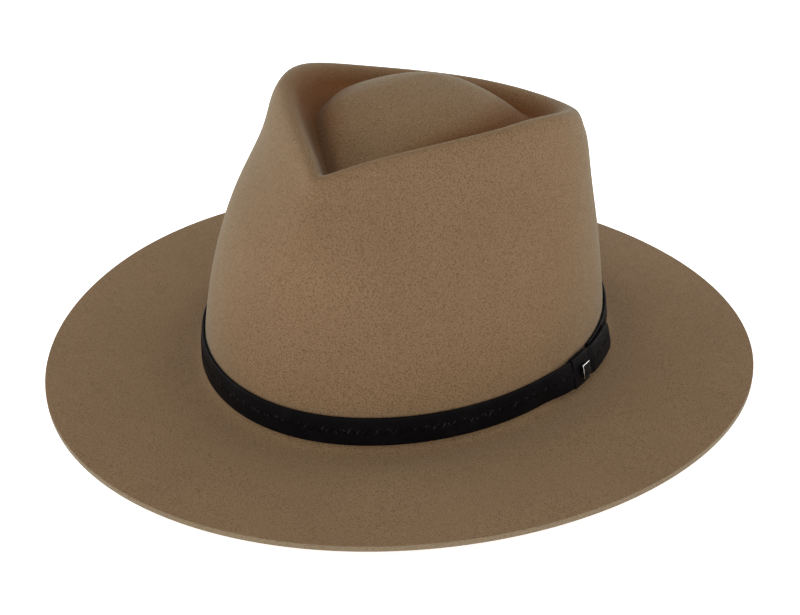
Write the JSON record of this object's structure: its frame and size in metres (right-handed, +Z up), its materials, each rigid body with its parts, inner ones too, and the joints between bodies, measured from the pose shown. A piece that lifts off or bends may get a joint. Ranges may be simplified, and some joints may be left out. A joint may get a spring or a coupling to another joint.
{
  "type": "wide-brim fedora",
  "caption": "Felt hat with a teardrop crown, pinched front and wide flat brim, dressed with a narrow leather band that closes through a keeper.",
  "frame": {"origin": "centre of the hat's box on the surface that it rests on, under the crown", "axes": "+Z up, -Y the front of the hat, +X the wearer's left"},
  "size_m": [0.3192, 0.3372, 0.1267],
  "materials": {
    "felt": "short-napped camel brown wool felt",
    "band_leather": "soft black leather with a satin face",
    "keeper_leather": "soft black leather with a satin face",
    "plate_metal": "dark nickel with bright worn edges"
  },
  "bodies": {
    "root": {"felt_body": "felt", "hat_band": "band_leather", "band_keeper": "keeper_leather", "keeper_plate": "plate_metal"}
  },
  "joints": []
}
